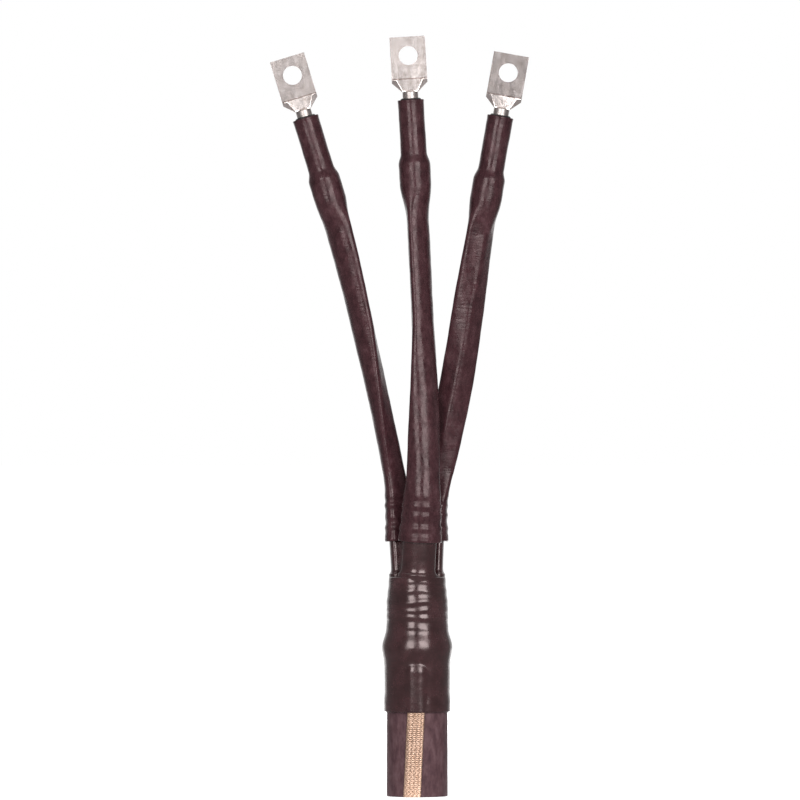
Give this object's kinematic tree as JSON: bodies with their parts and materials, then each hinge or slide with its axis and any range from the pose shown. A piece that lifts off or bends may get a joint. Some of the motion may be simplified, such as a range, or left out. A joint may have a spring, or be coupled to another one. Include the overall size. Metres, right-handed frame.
{
  "type": "heat-shrink cable termination",
  "caption": "Heat-shrink termination of an armoured cable: splayed sleeved cores with palm lugs, a rippled breakout boot and a flat copper earth braid on the sheath.",
  "frame": {"origin": "on the cable's axis at the cut end", "axes": "+Z along the cable towards the lugs, +X to the right as seen from the side of the braid, +Y away from the braid; the lug palms face -Y"},
  "size_m": [0.2333, 0.0634, 0.6843],
  "materials": {
    "sheath": "dull",
    "armour": "galvanised",
    "bedding": "dull",
    "belt": "wound tape",
    "conductor": "bare stranded copper",
    "insulation": "waxy",
    "braid": "woven copper wire",
    "spring": "bright strip",
    "mastic": "tacky",
    "boot": "shrunk, glossy",
    "tube": "shrunk, glossy",
    "lug": "satin, tinned"
  },
  "bodies": {
    "root": {"outer_sheath": "sheath", "armour_wires": "armour", "inner_sheath": "bedding", "core_belt": "belt", "left_conductor": "conductor", "centre_conductor": "conductor", "right_conductor": "conductor", "left_insulation": "insulation", "centre_insulation": "insulation", "right_insulation": "insulation", "earth_braid": "braid", "roll_spring": "spring", "boot_filler": "mastic", "crotch_filler": "mastic", "breakout_boot": "boot", "left_core_tube": "tube", "centre_core_tube": "tube", "right_core_tube": "tube", "left_mastic": "mastic", "centre_mastic": "mastic", "right_mastic": "mastic", "left_lug": "lug", "centre_lug": "lug", "right_lug": "lug", "left_mouth_seal": "mastic", "centre_mouth_seal": "mastic", "right_mouth_seal": "mastic"}
  },
  "joints": []
}
